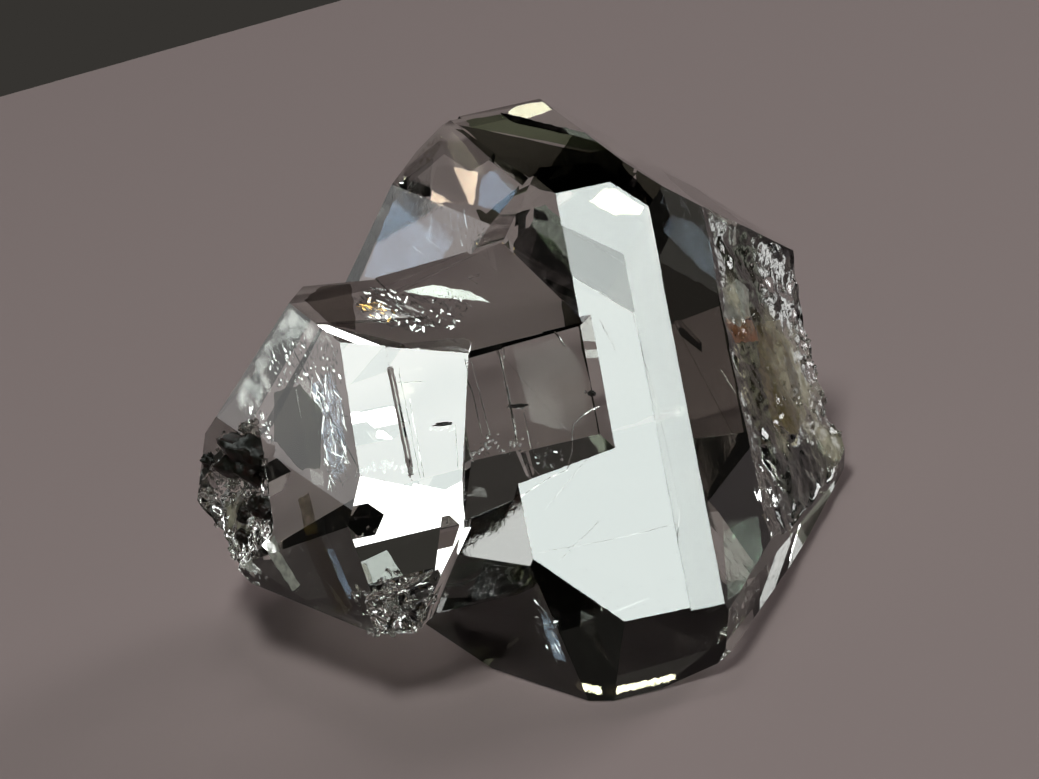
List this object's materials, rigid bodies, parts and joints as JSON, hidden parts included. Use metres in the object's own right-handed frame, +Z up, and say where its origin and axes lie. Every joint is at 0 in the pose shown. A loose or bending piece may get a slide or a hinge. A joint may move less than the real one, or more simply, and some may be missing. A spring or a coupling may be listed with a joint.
{
  "type": "quartz crystal specimen",
  "caption": "Clear, doubly terminated quartz crystals grown together side by side, with flat faces, rough breaks and black carbon blebs at one end.",
  "frame": {"origin": "middle of the bounding box, at the height of the flat face that the specimen rests on", "axes": "+Z up from the resting face; +Y along the longest side, away from the white front faces; +X to the right of them, towards the broken side of the large crystal"},
  "size_m": [0.0266, 0.0306, 0.0164],
  "materials": {
    "quartz": "polished",
    "carbon": "satin"
  },
  "bodies": {
    "root": {"quartz_crystals": "quartz", "carbon_bleb_large": "carbon", "carbon_bleb_small": "carbon"}
  },
  "joints": []
}
